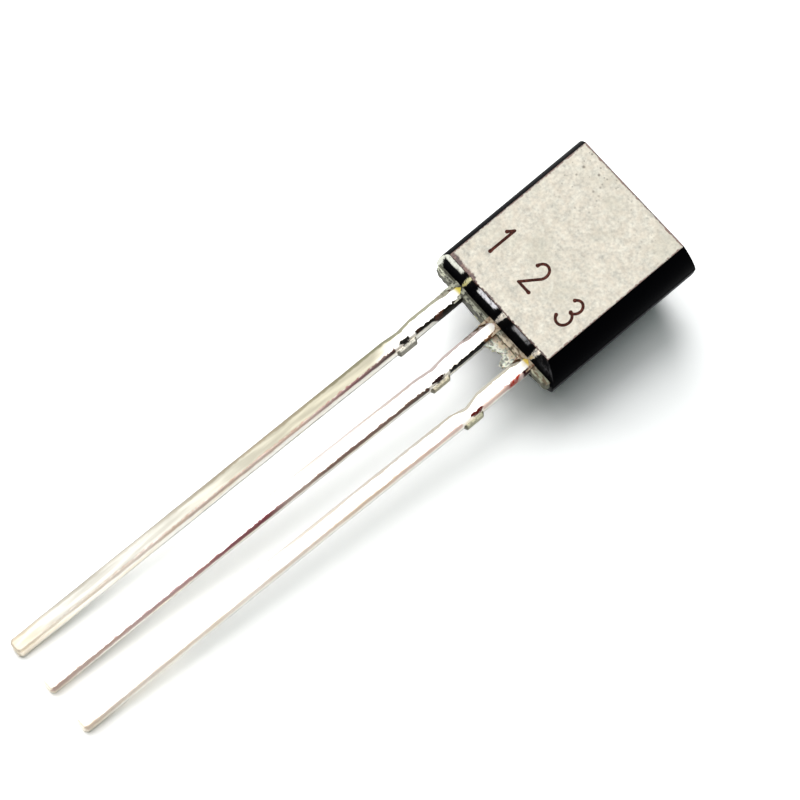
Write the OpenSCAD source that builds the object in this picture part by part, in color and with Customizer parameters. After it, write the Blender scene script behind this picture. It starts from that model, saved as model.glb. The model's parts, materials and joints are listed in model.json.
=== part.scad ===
// Three-lead transistor in a D-shaped moulded case, lying as it comes to rest on a table:
// on the tips of its leads and on the lower edge of its round back, with the flat face up.
// X runs from the first lead to the third, the leads point to -Y, and Z is up.
// The origin is on the table, under the middle of the whole part. Lengths are in millimetres.
//
// Each piece is drawn in the case's own directions: X across the leads, Y up the case and away
// from the leads, Z out through the flat face, with Y = 0 where the leads leave the case and
// Z = 0 halfway through the lead sheet, which is also the mould's parting plane.
// at_rest() then lays the piece down.

/* [Case] */
// Radius of the round back, and half the case's width
back_r = 2.2; // [2:0.05:2.6]
// Distance from the middle of the lead sheet to the flat face
flat_z = 1.2; // [1:0.05:1.5]
// Length of the case along the leads, at the parting plane
case_l = 4.8; // [4.4:0.05:5.4]
// Mould draft of both end faces
draft = 6.4; // [2:0.2:8]
// Radius of the case's corners, seen from the flat face
corner_r = 0.08; // [0.04:0.01:0.2]
// Radius of the edges between the round back and the end faces
back_edge_r = 0.18; // [0.05:0.01:0.3]

/* [Moulding marks] */
// Length of the resin rim between the leads, past the end face
rim_l = 0.14; // [0.1:0.01:0.35]
// How far the rim's ends stay inside the case's sides
rim_inset = 0.12; // [0.05:0.01:0.3]
// Radius of the rim's outer corners
rim_corner_r = 0.08; // [0.02:0.01:0.15]
// Greatest length of the resin flash between the second and third leads
flash_l = 0.62; // [0.4:0.01:0.9]
// Thickness of that flash
flash_t = 0.12; // [0.08:0.01:0.3]
// Diameter of the ejector pin's mark in the round back
pin_mark_d = 1; // [0.6:0.05:1.4]
// Depth of that mark
pin_mark_depth = 0.08; // [0.05:0.01:0.12]
// Width of the gate's stub on the top end, where the resin came in
gate_w = 0.9; // [0.5:0.05:1.5]
// Height of the gate's stub along the case's thickness
gate_t = 0.26; // [0.15:0.01:0.35]
// How far the gate's stub stands out
gate_out = 0.05; // [0.02:0.01:0.1]

/* [Leads] */
// Distance between neighbouring leads
pitch = 1.27; // [1.2:0.01:1.4]
// Thickness of the lead sheet
sheet_t = 0.4; // [0.36:0.01:0.46]
// Width of a lead between the case and the tie bar's stub
neck_w = 0.43; // [0.4:0.01:0.5]
// Width of a lead below the stub
shank_w = 0.42; // [0.36:0.01:0.45]
// Length of the leads outside the case
lead_l = 14.4; // [12.5:0.1:16]
// Distance from the case to the middle of the stub that the cut tie bar leaves
stub_y = 2.05; // [1.6:0.05:2.6]
// Length of the stub along the lead
stub_l = 0.56; // [0.4:0.02:0.8]
// How far the stub stands out of the side towards the third lead
stub_out = 0.09; // [0.04:0.01:0.12]
// Depth of the nick that the same cut leaves in the other side
stub_nick = 0.04; // [0.01:0.01:0.07]
// Length of the slope at each end of the stub and the nick
stub_slope = 0.12; // [0.05:0.01:0.2]
// Angle by which the shanks lean towards the first lead, below the stubs
lead_lean = 1.2; // [0:0.1:2]
// Length of the slanted cut at the lead tips
tip_cut = 0.08; // [0.02:0.01:0.15]

/* [Lead frame inside the case] */
// Width of the bonding heads on the first and second leads
head_w = 0.78; // [0.6:0.02:0.84]
// Length of those heads along the lead
head_l = 0.62; // [0.4:0.02:0.75]
// Distance from the end face to the top of the heads
head_y = 1.72; // [1.5:0.02:1.8]
// Slanted corners of the heads and of the mounting flag
sheet_corner = 0.1; // [0.04:0.01:0.15]
// Width of the third lead inside the case
riser_w = 0.6; // [0.5:0.02:0.7]
// Distance from the end face to the lower edge of the mounting flag
flag_y = 2.05; // [2:0.05:2.3]
// Length of the mounting flag along the case
flag_l = 1.75; // [1.4:0.05:1.9]
// Width of the mounting flag
flag_w = 2.5; // [2.2:0.05:2.7]
// How far the flag reaches past the middle of the third lead
flag_past = 0.4; // [0.32:0.02:0.45]
// Diameter of the hole in the flag that the resin locks into
lock_hole_d = 0.44; // [0.3:0.02:0.5]
// Distance from the flag's outer edge to the middle of that hole
lock_hole_in = 0.5; // [0.4:0.02:0.6]
// Depth of the resin-locking notches in the sides of the leads
notch_depth = 0.08; // [0.04:0.01:0.12]
// Distance from the end face to the middle of the notches
notch_y = 0.6; // [0.4:0.05:0.8]

/* [Chip and bond wires] */
// Side of the square silicon chip
chip_w = 0.56; // [0.3:0.02:0.8]
// Thickness of the chip
chip_t = 0.2; // [0.12:0.01:0.28]
// Distance from the flag's free side edge to the middle of the chip
chip_in = 0.95; // [0.7:0.05:1.1]
// Side of the square of solder under the chip
attach_w = 0.66; // [0.4:0.02:0.95]
// Thickness of the solder
attach_t = 0.025; // [0.015:0.005:0.04]
// Corner radius of the solder's outline
attach_corner_r = 0.08; // [0.04:0.01:0.12]
// Thickness of a bond wire
wire_d = 0.034; // [0.025:0.001:0.05]
// Height of a wire's top above the chip
wire_rise = 0.3; // [0.2:0.01:0.4]
// Width of the ball that joins a wire to the chip
ball_d = 0.09; // [0.07:0.005:0.12]
// Height of that ball
ball_h = 0.035; // [0.025:0.005:0.05]
// Width of the flattened foot that joins a wire to a lead
foot_w = 0.06; // [0.045:0.005:0.08]
// Length of that foot
foot_l = 0.11; // [0.08:0.005:0.14]
// Distance of the emitter's contact from the middle of the chip, across and along the case
emitter_pad = [-0.12, -0.1]; // [-0.15:0.01:0.15]
// Distance of the base's contact from the middle of the chip, across and along the case
base_pad = [0.13, -0.12]; // [-0.15:0.01:0.15]
// Distance from the top of a bonding head to the foot of its wire
foot_down = 0.22; // [0.15:0.01:0.3]

/* [Hidden] */
$fn = 48;

// How far an added shape reaches into the solid that it is joined to
overlap = 0.05;
slope = tan(draft);
mid_z = sheet_t / 2;
emitter_x = -pitch;
base_x = 0;
collector_x = pitch;
flag_right = collector_x + flag_past;
flag_left = flag_right - flag_w;
chip_at = [flag_left + chip_in, flag_y + flag_l / 2];
head_foot_y = head_y - foot_down;
chip_z = mid_z + attach_t;
chip_top = chip_z + chip_t;
// Middle of the rounding at the lower edge of the round back, through the case and along it
back_c_z = back_edge_r - back_r;
back_c_y = -back_c_z * slope + back_edge_r / cos(draft);
// Middle of the rounding at the back's upper edge
back_top_c_y = case_l - back_c_y;

// How the part lies: the lowest corners of the lead tips touch the table, and so does the back
// where its lower rounding ends
bend_y = -stub_y - stub_l / 2 - stub_slope;
shank_l = lead_l + bend_y;
tip_reach = shank_l * cos(lead_lean) + (shank_w / 2 - tip_cut) * sin(lead_lean) - bend_y;
tilt = atan2(back_r - mid_z, tip_reach + back_c_y);
rest_z = tip_reach * sin(tilt) + mid_z * cos(tilt);
low_y = -tip_reach * cos(tilt) - mid_z * sin(tilt);
high_y = max(
  back_top_c_y * cos(tilt) - back_c_z * sin(tilt) + back_edge_r * cos(draft - tilt),
  (case_l + gate_out) * cos(tilt) + gate_t / 2 * sin(tilt)
);
middle_y = (low_y + high_y) / 2;

module at_rest() {
  translate([0, -middle_y, rest_z])
    rotate([tilt, 0, 0])
      children();
}

// A sheet outline given its thickness, centred on the parting plane
module sheet(thickness = sheet_t) {
  linear_extrude(thickness, center = true)
    children();
}

// ---- Moulded case ----

module rounded_rect(low, high, r) {
  size = high - low;
  translate(low + [r, 0])
    square([size.x - 2 * r, size.y]);
  translate(low + [0, r])
    square([size.x, size.y - 2 * r]);
  for (x = [low.x + r, high.x - r])
    for (y = [low.y + r, high.y - r])
      translate([x, y])
        circle(r);
}

// Section across the case: a round back cut off by the flat face
module d_section() {
  intersection() {
    circle(back_r);
    translate([-back_r, -back_r])
      square([2 * back_r, back_r + flat_z]);
  }
}

// Rounding of an edge of the back, seen from the side: four straight steps about the middle c.
// The last one is drawn twice as long, so that the round back alone bounds the case below it.
function back_edge(c, from, to) =
  let (
    steps = 4,
    arc = [
      for (i = [0 : steps])
        let (a = from + (to - from) * i / steps)
        c + back_edge_r * [cos(a), sin(a)]
    ]
  )
  concat([for (i = [0 : steps - 1]) arc[i]], [2 * arc[steps] - arc[steps - 1]]);

// The case seen from the side, as [along the case, through it]: both halves are drafted
module side_profile() {
  lower = back_edge([back_c_y, back_c_z], 180 + draft, 270);
  upper = back_edge([back_top_c_y, back_c_z], -draft, -90);
  polygon(concat(
    [[0, 0]],
    lower,
    [for (i = [len(upper) - 1 : -1 : 0]) upper[i]],
    [[case_l, 0], [case_l - flat_z * slope, flat_z], [flat_z * slope, flat_z]]
  ));
}

module case_block() {
  intersection() {
    // round back and flat face
    translate([0, case_l, 0])
      rotate([90, 0, 0])
        linear_extrude(case_l)
          d_section();
    // drafted end faces
    rotate([90, 0, 90])
      linear_extrude(2 * back_r, center = true)
        side_profile();
    // corner roundings of the mould cavity
    linear_extrude(4 * back_r, center = true)
      rounded_rect([-back_r, 0], [back_r, case_l], corner_r);
  }
}

// Resin that ran out between the clamped leads and was broken off short
module rim() {
  half_w = back_r - rim_inset;
  sheet()
    rounded_rect([-half_w, -rim_l], [half_w, overlap + rim_corner_r], rim_corner_r);
}

// Thin flash that stayed between the second and third leads. Its broken edge is given as
// [place across the gap, length], each from 0 to 1.
module flash() {
  left = base_x + neck_w / 2;
  gap = collector_x - base_x - neck_w;
  edge = [[0, 0.88], [0.3, 0.72], [0.52, 0.58], [0.62, 0.62], [0.78, 1], [0.87, 0.97], [1, 0.76]];
  sheet(flash_t)
    polygon(concat(
      [[left + gap, 0], [left, 0]],
      [for (p = edge) [left + gap * p.x, -flash_l * p.y]]
    ));
}

module gate_stub() {
  sheet(gate_t)
    translate([-gate_w / 2, case_l - overlap])
      square([gate_w, overlap + gate_out]);
}

module ejector_mark() {
  translate([0, case_l / 2, -back_r - pin_mark_depth])
    cylinder(h = 2 * pin_mark_depth, d = pin_mark_d);
}

module moulded_case() {
  color([0.09, 0.09, 0.1])
    at_rest()
      difference() {
        union() {
          case_block();
          rim();
          flash();
          gate_stub();
        }
        ejector_mark();
        emitter_lead_shape();
        base_lead_shape();
        collector_lead_shape();
        chip_shape();
        solder_shape();
        emitter_wire_shape();
        base_wire_shape();
      }
}

// ---- Leads ----

// Point of a shank, measured from the bend, moved by the lean
function leaning(p) = [0, bend_y] + [
  p.x * cos(lead_lean) + p.y * sin(lead_lean),
  p.y * cos(lead_lean) - p.x * sin(lead_lean)
];

// Lead outside the case: straight neck, what the tie bar's cut left, then a leaning shank
module outer_lead(x) {
  neck = neck_w / 2;
  shank = shank_w / 2;
  top = stub_y - stub_l / 2;
  bottom = stub_y + stub_l / 2;
  nick_side = [
    [-neck, overlap], [-neck, stub_slope - top], [stub_nick - neck, -top], [stub_nick - neck, -bottom],
    leaning([-shank, 0])
  ];
  tip = [
    leaning([-shank, tip_cut - shank_l]), leaning([tip_cut - shank, -shank_l]),
    leaning([shank - tip_cut, -shank_l]), leaning([shank, tip_cut - shank_l])
  ];
  stub_side = [
    leaning([shank, 0]), [neck + stub_out, -bottom], [neck + stub_out, -top], [neck, stub_slope - top],
    [neck, overlap]
  ];
  translate([x, 0])
    polygon(concat(nick_side, tip, stub_side));
}

// Rectangle with slanted corners, from its lower left to its upper right corner
module cornered_rect(low, high, c = sheet_corner) {
  polygon([
    [low.x + c, low.y], [high.x - c, low.y], [high.x, low.y + c], [high.x, high.y - c],
    [high.x - c, high.y], [low.x + c, high.y], [low.x, high.y - c], [low.x, low.y + c]
  ]);
}

// Pair of pointed notches in the sides of a lead of width w
module notches(x, w) {
  half_mouth = notch_depth + overlap;
  for (side = [0, 1])
    translate([x, notch_y])
      mirror([side, 0])
        translate([w / 2, 0])
          polygon([[-notch_depth, 0], [overlap, -half_mouth], [overlap, half_mouth]]);
}

// First or second lead, which ends in a head for its bond wire
module headed_lead_shape(x) {
  sheet()
    difference() {
      union() {
        outer_lead(x);
        translate([x - neck_w / 2, 0])
          square([neck_w, head_y - sheet_corner]);
        cornered_rect([x - head_w / 2, head_y - head_l], [x + head_w / 2, head_y]);
      }
      notches(x, neck_w);
    }
}

module emitter_lead_shape() {
  headed_lead_shape(emitter_x);
}

module base_lead_shape() {
  headed_lead_shape(base_x);
}

// Third lead, which carries the chip on its mounting flag
module collector_lead_shape() {
  sheet()
    difference() {
      union() {
        outer_lead(collector_x);
        translate([collector_x - neck_w / 2, 0])
          square([neck_w, notch_y + 4 * notch_depth]);
        cornered_rect(
          [collector_x - riser_w / 2, notch_y + 2 * notch_depth],
          [collector_x + riser_w / 2, flag_y + flag_l / 2]
        );
        cornered_rect([flag_left, flag_y], [flag_right, flag_y + flag_l]);
      }
      notches(collector_x, neck_w);
      translate([flag_right - lock_hole_in, chip_at.y])
        circle(d = lock_hole_d);
    }
}

module emitter_lead() {
  color([0.82, 0.81, 0.76])
    at_rest()
      emitter_lead_shape();
}

module base_lead() {
  color([0.82, 0.81, 0.76])
    at_rest()
      base_lead_shape();
}

module collector_lead() {
  color([0.82, 0.81, 0.76])
    at_rest()
      collector_lead_shape();
}

// ---- Chip ----

module chip_shape() {
  translate([chip_at.x - chip_w / 2, chip_at.y - chip_w / 2, chip_z])
    cube([chip_w, chip_w, chip_t]);
}

module solder_shape() {
  half = [attach_w / 2, attach_w / 2];
  translate([0, 0, mid_z])
    linear_extrude(attach_t)
      rounded_rect(chip_at - half, chip_at + half, attach_corner_r);
}

module silicon_chip() {
  color([0.35, 0.36, 0.42])
    at_rest()
      chip_shape();
}

module chip_solder() {
  color([0.68, 0.68, 0.7])
    at_rest()
      solder_shape();
}

// ---- Bond wires ----

sides = 8;
steps = 12;
// Half the height of the wire where it flattens, and the heel's distance from the foot's middle
heel_r = 0.4 * wire_d;
heel_in = 0.4 * foot_l;
// Where the loop's top lies between chip and lead: nearer to the chip for a smaller number
loop_skew = 0.62;

// One ring of a wire. A ring is [middle, tilt of its axis from level, half width, half height];
// the wire stays in the upright plane that holds the direction dir.
function ring_points(ring, dir) = [
  for (i = [0 : sides - 1])
    let (
      a = 360 * (i + 0.5) / sides,
      out = ring[3] * sin(a)
    )
    ring[0] + ring[2] * cos(a) * [-dir.y, dir.x, 0]
      + out * [-sin(ring[1]) * dir.x, -sin(ring[1]) * dir.y, cos(ring[1])]
];

// Height of the wire's loop at t, from 0 at the chip to 1 at the lead
function loop_z(t, from_z, to_z, rise) =
  from_z + (to_z - from_z) * t * t + rise * sin(180 * pow(t, loop_skew));

// Rings of a wire from its ball on the chip, over the loop, to its foot on the lead
function wire_rings(from, to, dir, reach) =
  let (
    r = wire_d / 2,
    ball_r = ball_d / 2,
    start_z = chip_top + ball_h,
    end_z = mid_z + r,
    rise = wire_rise - ball_h,
    heel = to - dir * heel_in,
    at = function (t) [
      from.x + dir.x * reach * t,
      from.y + dir.y * reach * t,
      loop_z(t, start_z, end_z, rise)
    ],
    ball = [
      [[from.x, from.y, chip_top], 90, ball_r, ball_r],
      [[from.x, from.y, chip_top + 0.6 * ball_h], 90, ball_r, ball_r],
      [[from.x, from.y, start_z], 90, 1.2 * r, 1.2 * r]
    ],
    loop = [
      for (i = [1 : steps - 1])
        let (
          t = i / steps,
          ahead = at(t + 0.02) - at(t - 0.02),
          level = norm([ahead.x, ahead.y])
        )
        [at(t), atan2(ahead.z, level), r, r]
    ],
    foot = [
      [[heel.x, heel.y, mid_z + wire_d], -45, 0.4 * foot_w, heel_r],
      [[to.x, to.y, mid_z], -90, foot_w / 2, foot_l / 2]
    ]
  )
  concat(ball, loop, foot);

// Bond wire as one closed skin, from a contact on the chip to a lead's head
module bond_wire(from, to) {
  reach = norm(to - from);
  dir = (to - from) / reach;
  rings = wire_rings(from, to, dir, reach);
  count = len(rings);
  points = [for (ring = rings) each ring_points(ring, dir)];
  skin = [
    for (i = [0 : count - 2])
      for (j = [0 : sides - 1])
        let (k = (j + 1) % sides)
        each [
          [i * sides + j, (i + 1) * sides + k, i * sides + k],
          [i * sides + j, (i + 1) * sides + j, (i + 1) * sides + k]
        ]
  ];
  start = [[for (j = [0 : sides - 1]) j]];
  end = [[for (j = [sides - 1 : -1 : 0]) (count - 1) * sides + j]];
  polyhedron(points, concat(start, skin, end));
}

module emitter_wire_shape() {
  bond_wire(chip_at + emitter_pad, [emitter_x, head_foot_y]);
}

module base_wire_shape() {
  bond_wire(chip_at + base_pad, [base_x, head_foot_y]);
}

module emitter_wire() {
  color([0.9, 0.7, 0.3])
    at_rest()
      emitter_wire_shape();
}

module base_wire() {
  color([0.9, 0.7, 0.3])
    at_rest()
      base_wire_shape();
}

moulded_case();
emitter_lead();
base_lead();
collector_lead();
silicon_chip();
chip_solder();
emitter_wire();
base_wire();
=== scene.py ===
"""Three-lead transistor in a D-shaped moulded case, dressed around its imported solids."""

import json
import math
from types import SimpleNamespace

import bmesh
import bpy
from bmesh.types import BMEdge, BMVert
from bpy.props import FloatProperty, FloatVectorProperty, IntProperty, PointerProperty
from mathutils import Matrix, Vector, noise


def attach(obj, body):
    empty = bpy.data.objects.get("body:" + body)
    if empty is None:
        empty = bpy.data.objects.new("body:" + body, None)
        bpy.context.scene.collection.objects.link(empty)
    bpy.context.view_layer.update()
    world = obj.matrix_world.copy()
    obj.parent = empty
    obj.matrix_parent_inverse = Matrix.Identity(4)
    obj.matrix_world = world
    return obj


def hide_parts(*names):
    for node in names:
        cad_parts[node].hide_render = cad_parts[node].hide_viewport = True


bl_info = {
    "name": "Moulded Transistor",
    "version": (1, 0, 0),
    "blender": (4, 5, 0),
    "location": "3D View > Sidebar > Transistor",
    "description": "Builds the case, leads, marking and studio of a small three-lead transistor",
    "category": "Object",
}

MM = 0.001
DEG = math.radians(1)

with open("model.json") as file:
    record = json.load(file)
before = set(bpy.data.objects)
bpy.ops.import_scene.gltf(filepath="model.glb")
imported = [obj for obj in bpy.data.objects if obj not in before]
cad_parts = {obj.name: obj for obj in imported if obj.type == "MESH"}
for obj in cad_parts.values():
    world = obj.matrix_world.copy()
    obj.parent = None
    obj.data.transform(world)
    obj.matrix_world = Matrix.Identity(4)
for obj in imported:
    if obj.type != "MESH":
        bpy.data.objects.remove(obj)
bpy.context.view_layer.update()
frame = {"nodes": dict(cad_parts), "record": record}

# ---- The case's own directions ----
# Every piece is drawn as the solids are: X across the leads, Y up the case and away from them,
# Z out through the flat face, with Y = 0 where the leads leave the case and Z = 0 in the middle
# of the lead sheet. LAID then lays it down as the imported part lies.

FLAT_MOUNT_AT = Vector((0, 2.4, 1.2)) * MM
flat_mount = next(m for m in frame["record"]["mounts"] if m["name"] == "front_flat")
_, flat_y, flat_z = flat_mount["axis"]
TILT = math.atan2(-flat_y, flat_z)
LAID = (
    Matrix.Translation(flat_mount["pos_m"])
    @ Matrix.Rotation(TILT, 4, "X")
    @ Matrix.Translation(-FLAT_MOUNT_AT)
)
UNLAID = LAID.inverted()


def span(node):
    """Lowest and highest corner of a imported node, in the case's own directions."""
    places = [UNLAID @ v.co for v in frame["nodes"][node].data.vertices]
    return tuple(Vector(pick(p[i] for p in places) for i in range(3)) for pick in (min, max))


case_low, case_high = span("moulded_case")
first_low, first_high = span("emitter_lead")
third_low, third_high = span("collector_lead")
SHEET = first_high.z - first_low.z
HALF_SHEET_MM = 0.5 * SHEET / MM


# ---- Settings ----


def length(name, description, mm):
    return FloatProperty(
        name=name, description=description, default=mm * MM, unit="LENGTH", precision=5
    )


def angle(name, description, degrees):
    return FloatProperty(
        name=name, description=description, default=degrees * DEG, unit="ROTATION"
    )


def number(name, description, value):
    return FloatProperty(name=name, description=description, default=value)


def colour(name, description, rgb):
    return FloatVectorProperty(
        name=name, description=description, default=rgb, size=3, min=0, max=1, subtype="COLOR"
    )


def direction(name, description, xyz):
    return FloatVectorProperty(
        name=name, description=description, default=xyz, subtype="XYZ", precision=5
    )


class CaseSettings(bpy.types.PropertyGroup):
    """Sizes and colours of the moulded case"""

    draft: angle("Draft", "Mould draft of both end faces", 6.4)
    length: length("Length", "Length of the case at the parting plane", 4.8)
    back_edge: length("Back edge", "Radius of the edges from the round back to the ends", 0.18)
    edge: length("Sharp edges", "Width of the rounding of the other edges", 0.022)
    seam: length("Parting line", "How far the parting line stands out of the flanks", 0.012)
    rim: length("Rim", "Length of the resin rim between the leads", 0.14)
    rim_inset: length("Rim inset", "How far the rim's ends stay inside the flanks", 0.12)
    rough_edge: length("Broken edges", "Unevenness of the broken resin edges", 0.035)
    flash: length("Flash", "Length of the flash between the second and third leads", 0.62)
    flash_thickness: length("Flash thickness", "Thickness of that flash", 0.12)
    film: length("Film", "Length of the thin resin film on each side of a root", 0.42)
    pin_mark: length("Pin mark", "Diameter of the ejector pin's mark in the back", 1.0)
    pin_mark_depth: length("Pin mark depth", "Depth of that mark", 0.08)
    gate: length("Gate", "Width of the gate's stub on the top end", 0.9)
    gate_height: length("Gate height", "Height of that stub", 0.26)
    arc_steps: IntProperty(
        name="Arc steps", description="Straight steps in the round back", default=120
    )
    # the flat's pale grey is partly its own frosted tone and partly painted glare of the lamps on
    # black resin
    flat_tone_and_glare: colour("Flat face", "Frosted pale grey of the flat face", (0.68, 0.64, 0.545))
    resin_colour: colour("Resin", "Black of the moulded resin", (0.002, 0.002, 0.003))
    rim_colour: colour("Rim", "Thin resin of the rim", (0.26, 0.26, 0.20))
    flash_colour: colour("Flash", "Thin resin of the flash", (0.92, 0.92, 0.78))


class LeadSettings(bpy.types.PropertyGroup):
    """Sizes and colours of the leads"""

    pitch: length("Pitch", "Distance between neighbouring leads", 1.27)
    neck: length("Neck", "Width between the case and the tie bar's stub", 0.43)
    shank: length("Shank", "Width below the stub", 0.42)
    reach: length("Reach", "Length outside the case", 14.4)
    lean: angle("Lean", "Angle of the shanks towards the first lead", 1.2)
    stub_at: length("Stub place", "Distance from the case to the middle of the stub", 2.0)
    stub: length("Stub", "Length of the stub along the lead", 0.66)
    stub_out: length("Stub reach", "How far the stub stands out of the lead", 0.1)
    stub_drop: length("Stub drop", "How far the stub's top lies below the lead's", 0.13)
    nick: length("Nick", "Depth of the nick opposite the stub", 0.04)
    slope: length("Slope", "Length of the slope at each end of the nick", 0.12)
    edge: length("Edges", "Width of the rounding of the upper edges", 0.05)
    bow: length("Bow", "How far the second and third shanks bow", 0.03)
    waviness: length("Waviness", "Unevenness of the sheared sides", 0.008)
    tin_colour: colour("Tin", "Satin tin plating", (0.93, 0.91, 0.87))
    worn_tin_colour: colour("Dull tin", "Duller tin of the first lead", (0.36, 0.34, 0.265))


class MarkSettings(bpy.types.PropertyGroup):
    """Sizes and colour of the lead numbers on the flat face"""

    height: length("Height", "Height of a digit", 0.82)
    width: length("Width", "Width of a digit", 0.44)
    stroke: length("Stroke", "Width of a stroke", 0.078)
    base: length("Place", "Distance from the flat's lower edge to the digits", 0.95)
    ink_colour: colour("Mark", "Dark brown of the strokes", (0.05, 0.014, 0.010))


class StudioSettings(bpy.types.PropertyGroup):
    """Camera, lamps and floor"""

    camera_at: direction("Camera", "Place in metres", (0.0283557, -0.0359346, 0.1123696))
    aim_at: direction("Aim", "Middle of the picture, in metres", (-0.000147, 0.001784, 0.0015))
    camera_up: direction("Up", "Direction that is up in the picture", (-0.71685, 0.58288, 0.38259))
    lens: number("Lens", "Focal length in millimetres", 217.02)
    lamp_distance: length("Lamp distance", "Distance of both lamps", 400)
    key_from: direction("Key lamp", "Where the key lamp shines from", (-0.742, -0.034, 1.0))
    key_size: length("Key size", "Diameter of the key lamp", 481)
    key_watts: number("Key power", "Power of the key lamp", 1.69)
    fill_from: direction("Fill lamp", "Where the fill lamp shines from", (-0.062, 0.077, 1.0))
    fill_size: length("Fill size", "Diameter of the fill lamp", 268)
    fill_watts: number("Fill power", "Power of the fill lamp", 0.47)
    sky: number("Sky", "Strength of the even light from all round", 0.12)
    sky_colour: colour("Sky colour", "Tint of the even light", (0.84, 1.0, 0.96))
    floor_white: number("Floor", "Whiteness of the floor for its own light", 0.85)
    floor_seen: number("Seen floor", "Whiteness of the floor as it is seen", 1.5)


# ---- Meshes ----


def only(kind, geometry):
    return [g for g in geometry if isinstance(g, kind)]


def parts_of(elements, kind):
    """The vertices or edges of elements, each once and in a fixed order."""
    return list(dict.fromkeys(part for element in elements for part in getattr(element, kind)))


def plane_cut(bm, point, outward):
    """Cuts off what lies beyond a plane and closes the cut."""
    geometry = bm.verts[:] + bm.edges[:] + bm.faces[:]
    cut = bmesh.ops.bisect_plane(
        bm, geom=geometry, plane_co=point, plane_no=outward, clear_outer=True
    )
    rim = only(BMEdge, cut["geom_cut"])
    if rim:
        bmesh.ops.edgeloop_fill(bm, edges=rim)


def plane_mark(bm, point, normal, faces=None):
    """Cuts faces along a plane and keeps both sides."""
    faces = bm.faces[:] if faces is None else faces
    geometry = parts_of(faces, "verts") + parts_of(faces, "edges") + faces
    bmesh.ops.bisect_plane(bm, geom=geometry, plane_co=point, plane_no=normal)


def extrude(bm, faces, offset):
    """Draws faces out by an offset."""
    sweep = bmesh.ops.extrude_face_region(bm, geom=faces)["geom"]
    bmesh.ops.translate(bm, verts=only(BMVert, sweep), vec=offset)


def sharp_edges(bm, least_angle):
    return [e for e in bm.edges if e.is_manifold and e.calc_face_angle(0) > least_angle]


def round_off(bm, edges, width, segments):
    bmesh.ops.bevel(
        bm, geom=edges, offset=width, offset_type="OFFSET", segments=segments, profile=0.5,
        affect="EDGES", material=-1, clamp_overlap=True,
    )


def circle_at(bm, middle, radius, segments):
    """New circle round a place. Returns its vertices and its edges."""
    matrix = Matrix.Translation(middle)
    ring = bmesh.ops.create_circle(bm, radius=radius, segments=segments, matrix=matrix)["verts"]
    return ring, parts_of(ring, "link_edges")


def lump(place, scale, seed):
    """Even noise from -1 to 1 at a place, for patterns of about scale in size."""
    return noise.noise(place / scale + Vector((seed, 3.1 * seed, 7.7)))


def finished_piece(
    name, bm, materials, replaced=None, smooth=50, weighted=False
):
    """Lays a mesh down as the part lies and makes it a piece of the part."""
    bmesh.ops.remove_doubles(bm, verts=bm.verts[:], dist=1e-8)
    bmesh.ops.recalc_face_normals(bm, faces=bm.faces[:])
    bmesh.ops.transform(bm, matrix=LAID, verts=bm.verts[:])
    mesh = bpy.data.meshes.new(name)
    bm.to_mesh(mesh)
    bm.free()
    for material in materials:
        mesh.materials.append(material)
    mesh.shade_smooth()
    mesh.set_sharp_from_angle(angle=smooth * DEG)
    piece = bpy.data.objects.new(name, mesh)
    bpy.context.collection.objects.link(piece)
    if weighted:
        piece.modifiers.new("Even faces", "WEIGHTED_NORMAL").keep_sharp = True
    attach(piece, "root")
    if replaced:
        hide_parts(replaced)


# ---- Case ----

FLAT_PART, END_PART, FLANK_PART, BACK_PART, FAR_PART = range(5)
BACK_EDGE_STEPS = 6
CUT_MARGIN = 0.3 * MM  # length of the block past each end, before it is cut
SEAM_HALF = 0.02 * MM  # half width of the parting line's ridge
SHARP = 35 * DEG  # least angle of the edges that are rounded
RIM_CORNER = 0.1 * MM
RIM_SHARE = 0.93  # thickness of the rim as a share of the sheet's
ROOTED = 0.1 * MM  # how deep the rim and the gate's stub reach into the case
COARSE_LUMP, MIDDLE_LUMP, FINE_LUMP = 0.12 * MM, 0.08 * MM, 0.045 * MM  # of broken edges


def back_edge_cuts(case):
    """Planes that round the lower and upper edges of the round back, as (point, outward)."""
    radius = case.back_edge
    middle_z = radius + case_low.z
    middle_y = -middle_z * math.tan(case.draft) + radius / math.cos(case.draft)
    first = math.pi + case.draft
    turn = (math.pi / 2 - case.draft) / BACK_EDGE_STEPS
    cuts = []
    for i in range(BACK_EDGE_STEPS):
        a = first + i * turn
        y = middle_y + radius * math.cos(a)
        z = middle_z + radius * math.sin(a)
        out_y, out_z = math.cos(a + turn / 2), math.sin(a + turn / 2)
        cuts.append((Vector((0, y, z)), Vector((0, out_y, out_z))))
        cuts.append((Vector((0, case.length - y, z)), Vector((0, -out_y, out_z))))
    return cuts


def case_block(case):
    """Drafted D-shaped block, without its marks."""
    radius, top = case_high.x, case_high.z
    corner = math.asin(top / radius)
    bm = bmesh.new()
    start = bm.verts.new((radius * math.cos(corner), -CUT_MARGIN, top))
    bmesh.ops.spin(
        bm, geom=[start], cent=(0, 0, 0), axis=(0, 1, 0), angle=math.pi + 2 * corner,
        steps=case.arc_steps, use_duplicate=False,
    )
    bm.verts.ensure_lookup_table()
    bm.edges.new([v for v in bm.verts if len(v.link_edges) == 1])
    section = bmesh.ops.contextual_create(bm, geom=bm.edges[:])["faces"]
    extrude(bm, section, (0, case.length + 2 * CUT_MARGIN, 0))
    bmesh.ops.recalc_face_normals(bm, faces=bm.faces[:])
    c, s = math.cos(case.draft), math.sin(case.draft)
    for half in (1, -1):
        plane_cut(bm, Vector((0, 0, 0)), Vector((0, -c, half * s)))
        plane_cut(bm, Vector((0, case.length, 0)), Vector((0, c, half * s)))
    for point, outward in back_edge_cuts(case):
        plane_cut(bm, point, outward)
    round_off(bm, sharp_edges(bm, SHARP), case.edge, 3)
    return bm


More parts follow.
